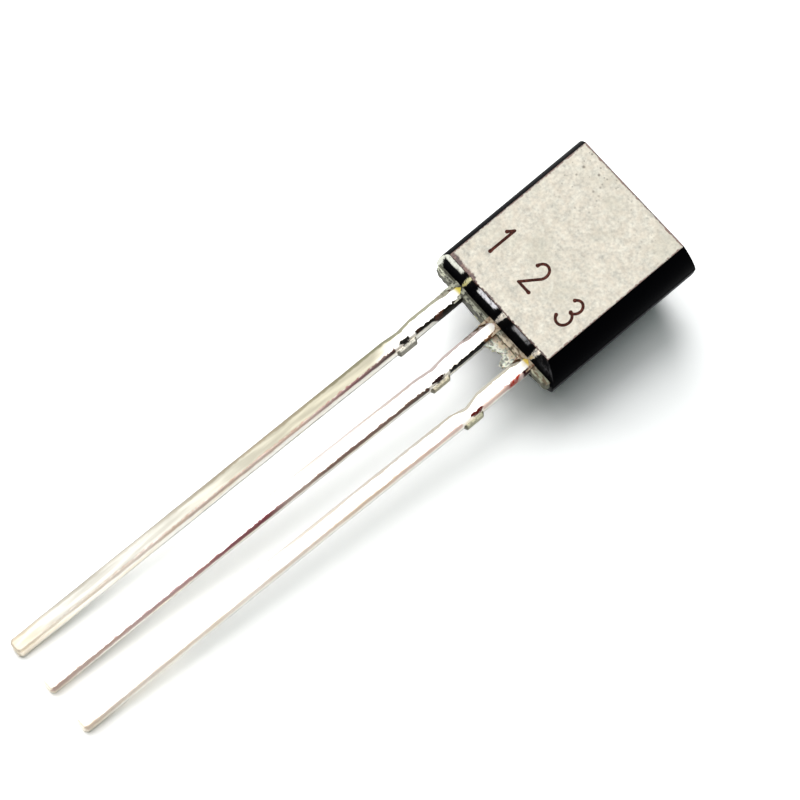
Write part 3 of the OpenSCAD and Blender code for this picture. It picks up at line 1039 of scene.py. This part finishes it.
def rim_material(case):
    """Greenish grey splintered resin: pale in the middle, dark olive along both its edges, the
    inner one partly painted shade where the rim meets the case.
    """
    tone, rim = case.rim_colour, case.rim / MM
    material, shader, place = new_resin("Broken resin", tone, Roughness=0.6)
    across, along, through = place.xyz()
    mottle, height = grain(place.mapped(Scale=(0.6, 1.25, 1.0)), 12.0, 4.5)
    shift = mottle.swing(0.4)
    past_second = across.ramp(0.2, 0.5)
    pale = across.ramp(-2.0, -1.4).shades(tone, 3.6, 2.1)
    pale = past_second.mix(pale, (0.86, 0.73, 0.54))
    pale = across.ramp(1.4, 1.7).mix(pale, (0.55, 0.57, 0.40))
    dark = past_second.mix(darker(tone, 0.25), (0.20, 0.14, 0.08))
    outer = (along + shift).ramp(0.035 - rim, -0.02 - rim)
    # darker next to the case: painted shade in the corner between rim and case, which also keeps
    # its reflection in the end face dark
    inner = (along + shift * 0.4).ramp(-0.055, -0.02) * across.ramp(0.2, 0.5, 1.0, 0.4)
    edge = outer | inner | through.ramp(0.16, 0.11)
    base = (edge * 0.85).mix(mottle.ramp(0.43, 0.54).mix(dark, pale), (0.045, 0.045, 0.02))
    connect(shader, Base_Color=base, Normal=height.bump(0.8, 0.02))
    return material


def flash_material(case):
    """Thin splintered flash: brownish at the rim, whiter and freckled to its broken edge."""
    tone = case.flash_colour
    material, shader, place = new_resin(
        "Flash resin", tone, Roughness=0.6, Subsurface_Weight=0.2, Subsurface_Scale=0.0002
    )
    mottle, height = grain(place, 11.0, 5.0)
    outer = (place.xyz()[1] + mottle.swing(0.8)).ramp(-0.18, -0.30)
    pale = outer.mix((0.74, 0.60, 0.43), tone)
    base = mottle.ramp(0.42, 0.54).mix(darker(tone, 0.3), pale)
    base = (specks(place, 8.0, 0.42, 0.5) * 0.9).mix(base, (0.05, 0.035, 0.02))
    connect(shader, Base_Color=base, Normal=height.bump(0.8, 0.03))
    return material


def film_material(case):
    """Film on the leads' roots: greenish beside the first lead, brown beside the others."""
    tone = case.rim_colour
    material, shader, place = new_resin("Resin film", tone, Roughness=0.55)
    mottle, height = grain(place, 9.0, 3.6)
    past_first = place.xyz()[0].ramp(-0.7, -0.5)
    pale = past_first.mix(darker(tone, 2.2), (0.62, 0.50, 0.34))
    dark = past_first.mix((0.03, 0.03, 0.016), (0.22, 0.10, 0.045))
    base = mottle.ramp(0.42, 0.54).mix(dark, pale)
    connect(shader, Base_Color=base, Normal=height.bump(0.6, 0.02))
    return material


def ink_material(mark):
    """Burnt dark brown of the marking."""
    tone = mark.ink_colour
    material, shader, place = new_resin(
        "Burnt mark", tone, Roughness=0.75, Specular_IOR_Level=0.1
    )
    mottle, _ = grain(place, 18.0, 3.0)
    connect(shader, Base_Color=mottle.ramp(0.4, 0.65).shades(tone, 0.7, 2.6))
    return material


# ---- Materials of the leads ----

# Looks of each lead. Places are in millimetres from the case.
# bare: colours of the right edge, by place, partly bare sheared metal and partly painted shade of
# that side; firm: its strength, by place;
# width: how far it reaches onto the face; depth: its lowest place on the side;
# root_depth: the same nearer the case than root_end
# left, left_firm, left_width: the same of the left edge; stain_end: end of its stain
# dull: dulling of the face past the stub; root: golden tint at the case, a painted warm glint, and
# its reach
# stub, stub_matt: colour and matt share of the stub; nick: depth, as a share of the setting
# hollow: colour of the painted shade in the hollow beside the stub, its place from the middle of
# the stub, half length and half width
# stain: colour of a patch on the right edge, its place, half length and half width
# beneath: colour of the darkened underside, painted shade that also deepens the leads' shadows on
# the floor, and where it starts to fade
LEAD_LOOKS = {
    1: {
        "bare": [
            (0.3, (0.012, 0.009, 0.004)), (2.2, (0.007, 0.006, 0.004)), (2.8, (0.10, 0.02, 0.02)),
            (3.8, (0.30, 0.05, 0.07)), (5.5, (0.57, 0.25, 0.18)), (6.7, (0.56, 0.27, 0.18)),
            (8.0, (0.49, 0.26, 0.17)), (10.5, (0.52, 0.28, 0.20)), (13.5, (0.58, 0.46, 0.32)),
        ],
        "firm": [
            (2.3, 1.0), (2.7, 0.82), (3.8, 0.78), (5.0, 0.47), (6.8, 0.45), (7.6, 0.56),
            (9.0, 0.50), (10.6, 0.36), (13.5, 0.27),
        ],
        "width": 0.06, "depth": 0.10, "root_depth": -0.3, "root_end": 1.15,
        "left": [(2.5, (0.20, 0.195, 0.115)), (6.0, (0.24, 0.18, 0.11))],
        "left_firm": [
            (2.5, 0.80), (4.0, 0.76), (5.2, 0.52), (7.6, 0.50), (9.0, 0.33), (10.5, 0.24),
            (13.5, 0.24),
        ],
        "left_width": 0.115, "stain_end": 0.7, "dull": 1.0, "root": ((0.80, 0.66, 0.12), 0.20),
        "stub": (0.74, 0.72, 0.62), "stub_matt": 0.5, "nick": 1.0,
        "hollow": ((0.008, 0.007, 0.006), 0.02, 0.20, 0.055),
        "stain": ((0.13, 0.05, 0.03), 0.88, 0.17, 0.05),
        "beneath": ((0.22, 0.23, 0.21), 12.9),
    },
    2: {
        "bare": [
            (0.42, (0.35, 0.16, 0.06)), (0.5, (0.006, 0.005, 0.004)),
            (2.2, (0.006, 0.005, 0.004)), (3.5, (0.17, 0.052, 0.018)),
            (5.6, (0.20, 0.062, 0.024)), (6.4, (0.34, 0.13, 0.06)), (7.5, (0.24, 0.005, 0.04)),
            (10.0, (0.38, 0.035, 0.07)), (13.5, (0.28, 0.09, 0.09)),
        ],
        "firm": [
            (2.3, 1.0), (2.6, 0.90), (4.0, 0.83), (5.6, 0.84), (6.3, 0.60), (6.9, 0.62),
            (7.5, 0.94), (8.8, 0.84), (10.0, 0.64), (13.5, 0.56),
        ],
        "width": 0.06, "depth": 0.0, "root_depth": -0.03, "root_end": 1.7,
        "left": [(0.0, (0.46, 0.36, 0.34)), (5.0, (0.46, 0.38, 0.36))],
        "left_firm": [(2.5, 0.9), (4.0, 0.72), (5.5, 0.66), (7.0, 0.4), (8.5, 0.0)],
        "left_width": 0.10, "stain_end": 0.95, "dull": 0.0, "root": ((0.85, 0.68, 0.62), 0.06),
        "stub": (0.82, 0.75, 0.54), "stub_matt": 0.5, "nick": 1.0,
        "hollow": ((0.022, 0.008, 0.007), 0.02, 0.22, 0.05),
        "stain": ((0.14, 0.06, 0.03), 0.3, 0.12, 0.03),
        "beneath": ((0.18, 0.19, 0.17), 12.9),
    },
    3: {
        "bare": [
            (0.31, (0.03, 0.002, 0.004)), (0.35, (0.60, 0.30, 0.26)), (0.41, (0.58, 0.28, 0.24)),
            (0.50, (0.38, 0.07, 0.05)), (0.78, (0.36, 0.07, 0.05)), (0.95, (0.60, 0.30, 0.24)),
            (2.6, (0.62, 0.27, 0.20)), (5.0, (0.55, 0.30, 0.17)), (13.5, (0.50, 0.34, 0.24)),
        ],
        "firm": [
            (0.31, 1.0), (0.36, 0.55), (0.41, 0.5), (0.5, 0.66), (0.8, 0.72), (1.1, 0.50),
            (2.6, 0.53), (5.0, 0.53), (6.2, 0.46), (8.0, 0.40), (9.0, 0.36), (13.5, 0.48),
        ],
        "width": 0.08, "depth": 0.03, "root_depth": -0.08, "root_end": 0.9,
        "left": [(0.0, (0.44, 0.41, 0.32)), (5.0, (0.44, 0.38, 0.34))],
        "left_firm": [(2.8, 0.85), (4.0, 0.82), (5.5, 0.72), (7.5, 0.62), (9.0, 0.3), (10.0, 0.0)],
        "left_width": 0.105, "stain_end": 0.5, "dull": 0.0, "root": ((0.82, 0.60, 0.12), 0.14),
        "stub": (0.76, 0.74, 0.50), "stub_matt": 0.6, "nick": 2.2,
        "hollow": ((0.12, 0.012, 0.010), -0.13, 0.22, 0.05),
        "stain": ((0.50, 0.035, 0.015), 0.60, 0.20, 0.04),
        "beneath": ((0.42, 0.43, 0.39), 10.6),
    },
}


def lead_patterns(tree, leads, index):
    """Places on the straight lead in millimetres, its sizes, and patterns over it."""
    place = Value(add_node(tree, "ShaderNodeAttribute", attribute_name="straight"), "Vector")
    at = SimpleNamespace()
    at.across, down, at.through = place.xyz()
    at.along = down * -1.0
    at.half, at.neck_half = 0.5 * leads.shank / MM, 0.5 * leads.neck / MM
    at.stub, at.stub_half = leads.stub_at / MM, 0.5 * leads.stub / MM
    at.from_stub = abs(at.along - at.stub)
    # streaks along the lead, and mottling at three sizes
    at.streaks = place.mapped(Location=(index, 0, 0), Scale=(9.0, 0.8, 9.0)).noise(1.0, 3.0)
    moved = place.mapped(Location=(7.0 * index, 0, 0))
    at.mottle, _ = grain(moved, 6.0, 1.1)
    at.fine, _ = grain(moved, 16.0, 7.0)
    at.speckle, _ = grain(moved, 30.0, 13.0)
    # uneven places, for borders that wander
    at.wobble, at.shred = at.mottle.swing(0.12), at.fine.swing(5.0)
    at.reach, at.uneven, at.ragged = (
        at.across + at.wobble, at.along + at.wobble, at.along + at.wobble * 2.5
    )
    return at


def lead_tin(at, look, leads):
    """Tin, warmer in streaks, duller past the stub, beige at the tip, with a painted warm glint at
    the root.
    """
    plain, worn = leads.tin_colour, leads.worn_tin_colour
    base = at.streaks.ramp(0.42, 0.66, 0.0, 0.5).mix(plain, (0.90, 0.80, 0.60))
    dull = (at.along - at.reach * 1.5).ramp(1.5, 3.0) * look["dull"]
    dull = dull * at.reach.ramp(at.half - 0.02, at.half - 0.05, 0.1, 1.0)
    tone = at.along.ramp(4.5, 11.5).mix(darker(worn, 0.93), (0.43, 0.42, 0.385))
    tone = at.streaks.ramp(0.35, 0.65, 0.0, 0.2).mix(tone, darker(worn, 0.7))
    base = dull.mix(base, tone)
    base = at.along.ramp(12.9, 14.3, 0.0, 0.5).mix(base, (0.62, 0.52, 0.38))
    # golden tint at the root: a painted warm glint
    tint, root_glint_end = look["root"]
    return at.uneven.ramp(root_glint_end, 0.5 * root_glint_end).mix(base, tint), dull


def right_edge(at, look):
    """Upper edge and upper part of the right side, partly bare sheared metal and partly painted
    shade of the side away from the lamps, broken off at the stub.
    """
    blotch = at.mottle.ramp(0.45, 0.62, 0.0, 0.4) * at.along.ramp(1.0, 2.4)
    tone = blotch.mix(at.uneven.stops(look["bare"]), (0.26, 0.10, 0.06))
    start, root_end = at.half - look["width"], look["root_end"]
    lowest = at.along.ramp(root_end, root_end - 0.4, look["depth"], look["root_depth"])
    height = at.through + at.wobble * 1.5 - lowest
    mask = (at.reach + at.shred * 0.035).ramp(start, start + 0.025) * height.ramp(-0.05, 0.02)
    at_stub = (at.from_stub + at.wobble).ramp(at.stub_half + 0.05, at.stub_half - 0.03)
    mask = mask * at_stub.ramp(0.0, 1.0, 1.0, 0.12) * at.along.stops(look["firm"])
    return mask, tone


def left_edge(at, look, leads):
    """Bare left edge, stained near the case."""
    start, stain_end = at.half - look["left_width"], look["stain_end"]
    stain = at.along.ramp(stain_end, stain_end - 0.15) * at.mottle.ramp(0.42, 0.52, 0.2, 1.0)
    reach = at.along.ramp(stain_end, stain_end - 0.2, 0.0, 0.03) - at.reach
    nick_end, nick_depth = at.stub_half + leads.slope / MM, 1.2 * look["nick"] * leads.nick / MM
    reach = reach + at.from_stub.ramp(nick_end, 0.0, 0.0, nick_depth)
    mask = reach.ramp(start, start + 0.03) * (stain | at.along.stops(look["left_firm"]))
    return mask, stain.mix(at.along.stops(look["left"]), (0.06, 0.03, 0.012))


def ragged_oval(at, down, side, start, end):
    """Ragged oval mask, from its start outside to its end inside, in shares of its halves."""
    return (down**2.0 + side**2.0 + at.shred).ramp(start, end)


def lead_material(leads, index):
    """Satin tin with stained edges, partly bare where the lead was sheared and partly painted
    shade, a painted warm glint at the root, and painted shade beside the stub and along the lower
    edges.
    """
    look = LEAD_LOOKS[index]
    material, tree, shader = new_material(
        f"Tinned lead {index}", leads.tin_colour, Metallic=1.0, Specular_IOR_Level=0.1
    )
    at = lead_patterns(tree, leads, index)
    base, dull = lead_tin(at, look, leads)
    right, right_tone = right_edge(at, look)
    left, left_tone = left_edge(at, look, leads)
    # the stub: pale, with a dark outline, and painted shade in the hollow beside it
    stub = at.across.ramp(at.neck_half + 0.006, at.neck_half + 0.02)
    stub_end = at.neck_half + leads.stub_out / MM
    rim = at.across.ramp(stub_end - 0.02, stub_end, 0.0, 0.4)
    ends = (at.from_stub + at.wobble).ramp(at.stub_half - 0.11, at.stub_half - 0.06)
    outline = (rim | ends) * stub * at.speckle.ramp(0.42, 0.54, 0.2, 1.0)
    stub_tone = at.speckle.ramp(0.42, 0.56).mix(darker(look["stub"], 0.42), look["stub"])
    hollow_tone, shift, long, wide = look["hollow"]
    down = (at.ragged - (at.stub + shift)) / long
    side = (at.reach - (at.half - 0.03)) / wide
    hollow = ragged_oval(at, down, side, 1.4, 0.6) * at.through.ramp(0.0, 0.1)
    # a patch of stain on the right edge
    patch_tone, start, long, wide = look["stain"]
    down = (at.ragged - start) / long
    side = (at.reach - down * (0.2 * long) - (at.half - 0.02)) / wide
    patch = ragged_oval(at, down, side, 1.3, 0.7) * at.through.ramp(-0.1, 0.0)
    patch = patch * at.fine.ramp(0.40, 0.54, 0.5, 1.0)
    # painted shade along the lower edge of both sides, and on the underside, where it also deepens
    # the leads' shadows on the floor
    low = (at.through + at.wobble).ramp(-0.12, -0.16)
    flank = min(at.half, at.neck_half)
    beside = abs(at.across).ramp(flank - 0.05, flank - 0.02)
    shade, fade = look["beneath"]
    beneath = low * (1.0 - beside) * at.along.ramp(fade, fade + 1, 0.95, 0.2)
    lower = low * beside * at.along.ramp(8.0, 12.0, 0.85, 0.25)
    for mask, tone in (
        (beneath, shade), (lower, (0.24, 0.25, 0.22)), (left, left_tone), (right, right_tone),
        (patch, patch_tone), (stub * 0.9, stub_tone), (outline, (0.06, 0.055, 0.035)),
        (hollow, hollow_tone),
    ):
        base = mask.mix(base, tone)
    bare = lower | left | right | stub * look["stub_matt"] | hollow | patch
    # the root is partly matt, so that it stays light beside the black end face
    matt = bare | at.along.ramp(0.45, 0.15, 0.0, 0.8)
    rough = at.streaks.ramp(0.3, 0.7, 0.37, 0.5) + (bare | dull) * 0.15
    connect(
        shader, Base_Color=base, Metallic=1.0 - matt, Roughness=rough,
        Normal=at.streaks.bump(0.15, 0.01),
    )
    return material


# ---- Materials of the inner pieces ----


def inner_material(name, tone, roughness, metallic, fine):
    """Finish of a piece cast inside the case."""
    material, tree, shader = new_material(name, tone, Roughness=roughness, Metallic=metallic)
    mottle, height = grain(millimetres(tree), fine, 0.3 * fine)
    base = mottle.shades(tone, 0.8, 1.15)
    connect(shader, Base_Color=base, Normal=height.bump(0.2, 0.003))
    return material


def dress_inner_pieces():
    """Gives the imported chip, solder and bond wires their finishes."""
    silicon = inner_material("Polished silicon", (0.22, 0.23, 0.30), 0.12, 0.4, 30.0)
    solder = inner_material("Solder", (0.60, 0.60, 0.62), 0.45, 1.0, 25.0)
    gold = inner_material("Gold wire", (0.95, 0.68, 0.26), 0.22, 1.0, 60.0)
    finishes = {
        "silicon_chip": silicon, "chip_solder": solder, "emitter_wire": gold, "base_wire": gold,
    }
    for node, material in finishes.items():
        for material_slot in frame["nodes"][node].material_slots:
            material_slot.material = material


# ---- Studio ----

FLOOR_HALF = 1.5


def seen_share(tree):
    """1 for camera, glossy and transmission rays, and 0 for the rest."""
    path = add_node(tree, "ShaderNodeLightPath")
    camera, glossy, through = (
        Value(path, f"Is {kind} Ray") for kind in ("Camera", "Glossy", "Transmission")
    )
    return camera | glossy | through


def build_floor(studio):
    bm = bmesh.new()
    bmesh.ops.create_grid(bm, x_segments=4, y_segments=4, size=FLOOR_HALF)
    mesh = bpy.data.meshes.new("floor")
    bm.to_mesh(mesh)
    bm.free()
    floor = bpy.data.objects.new("floor", mesh)
    bpy.context.collection.objects.link(floor)
    material = bpy.data.materials.new("White floor")
    material.use_nodes = True
    tree = material.node_tree
    tree.nodes.remove(tree.nodes["Principled BSDF"])
    white = seen_share(tree).even_ramp(0.0, 1.0, studio.floor_white, studio.floor_seen)
    matt = Value(add_node(tree, "ShaderNodeBsdfDiffuse", {"Color": white}), "BSDF")
    connect(tree.nodes["Material Output"], Surface=matt)
    mesh.materials.append(material)


def build_world(studio):
    world = bpy.data.worlds.new("Studio light")
    world.use_nodes = True
    tree = world.node_tree
    tint = seen_share(tree).mix(darker(studio.sky_colour, studio.sky), (1, 1, 1))
    connect(tree.nodes["Background"], Color=tint)
    bpy.context.scene.world = world


def build_lamp(name, shines_from, distance, size, watts):
    lamp = bpy.data.lights.new(name, "AREA")
    lamp.shape = "DISK"
    lamp.size = size
    lamp.energy = watts
    way = Vector(shines_from).normalized()
    holder = bpy.data.objects.new(name, lamp)
    turn = way.to_track_quat("Z", "Y").to_matrix().to_4x4()
    holder.matrix_world = Matrix.Translation(way * distance) @ turn
    bpy.context.collection.objects.link(holder)


def build_camera(studio):
    camera = bpy.data.cameras.new("camera")
    camera.lens = studio.lens
    camera.sensor_width = 36
    camera.clip_start = 0.001
    camera.clip_end = 10
    place, aim = Vector(studio.camera_at), Vector(studio.aim_at)
    back = (place - aim).normalized()
    right = Vector(studio.camera_up).cross(back).normalized()
    axes = Matrix((right, back.cross(right), back)).transposed()
    holder = bpy.data.objects.new("camera", camera)
    holder.matrix_world = Matrix.Translation(place) @ axes.to_4x4()
    bpy.context.collection.objects.link(holder)
    bpy.context.scene.camera = holder


# ---- Operators ----


class TRANSISTOR_OT_case(bpy.types.Operator):
    """Builds the moulded case with its rim, flash, root films and gate stub"""

    bl_idname = "transistor.case"
    bl_label = "Moulded case"

    def execute(self, context):
        case, leads = context.scene.transistor_case, context.scene.transistor_leads
        build_case(case, leads)
        build_rim(case)
        build_flash(case, leads)
        build_films(case, leads)
        build_gate(case)
        return {"FINISHED"}


class TRANSISTOR_OT_leads(bpy.types.Operator):
    """Builds the three stamped leads"""

    bl_idname = "transistor.leads"
    bl_label = "Leads"

    def execute(self, context):
        build_leads(context.scene.transistor_leads)
        return {"FINISHED"}


class TRANSISTOR_OT_inside(bpy.types.Operator):
    """Gives the chip, its solder and the bond wires their finishes"""

    bl_idname = "transistor.inside"
    bl_label = "Chip and bond wires"

    def execute(self, context):
        dress_inner_pieces()
        return {"FINISHED"}


class TRANSISTOR_OT_marking(bpy.types.Operator):
    """Marks the leads' numbers on the flat face"""

    bl_idname = "transistor.marking"
    bl_label = "Lead numbers"

    def execute(self, context):
        build_marking(context.scene.transistor_mark, context.scene.transistor_leads)
        return {"FINISHED"}


class TRANSISTOR_OT_studio(bpy.types.Operator):
    """Sets up the floor, the light and the camera"""

    bl_idname = "transistor.studio"
    bl_label = "Studio"

    def execute(self, context):
        studio = context.scene.transistor_studio
        build_floor(studio)
        build_world(studio)
        for lamp in ("key", "fill"):
            shines_from, size, watts = (
                getattr(studio, f"{lamp}_{part}") for part in ("from", "size", "watts")
            )
            build_lamp(lamp, shines_from, studio.lamp_distance, size, watts)
        build_camera(studio)
        context.scene.view_settings.view_transform = "Standard"
        return {"FINISHED"}


OPERATORS = (
    TRANSISTOR_OT_case,
    TRANSISTOR_OT_leads,
    TRANSISTOR_OT_inside,
    TRANSISTOR_OT_marking,
    TRANSISTOR_OT_studio,
)
SETTINGS = {
    "transistor_case": CaseSettings,
    "transistor_leads": LeadSettings,
    "transistor_mark": MarkSettings,
    "transistor_studio": StudioSettings,
}


class TRANSISTOR_PT_panel(bpy.types.Panel):
    """Lists the steps that build the transistor"""

    bl_idname = "TRANSISTOR_PT_panel"
    bl_label = "Transistor"
    bl_space_type = "VIEW_3D"
    bl_region_type = "UI"
    bl_category = "Transistor"

    def draw(self, context):
        for operator in OPERATORS:
            self.layout.operator(operator.bl_idname)


def register():
    for group in SETTINGS.values():
        bpy.utils.register_class(group)
    for name, group in SETTINGS.items():
        setattr(bpy.types.Scene, name, PointerProperty(type=group))
    for operator in OPERATORS:
        bpy.utils.register_class(operator)
    bpy.utils.register_class(TRANSISTOR_PT_panel)


def unregister():
    bpy.utils.unregister_class(TRANSISTOR_PT_panel)
    for operator in reversed(OPERATORS):
        bpy.utils.unregister_class(operator)
    for name in SETTINGS:
        delattr(bpy.types.Scene, name)
    for group in reversed(SETTINGS.values()):
        bpy.utils.unregister_class(group)


def main():
    register()
    bpy.ops.transistor.case()
    bpy.ops.transistor.leads()
    bpy.ops.transistor.inside()
    bpy.ops.transistor.marking()
    bpy.ops.transistor.studio()


if __name__ == "__main__":
    main()
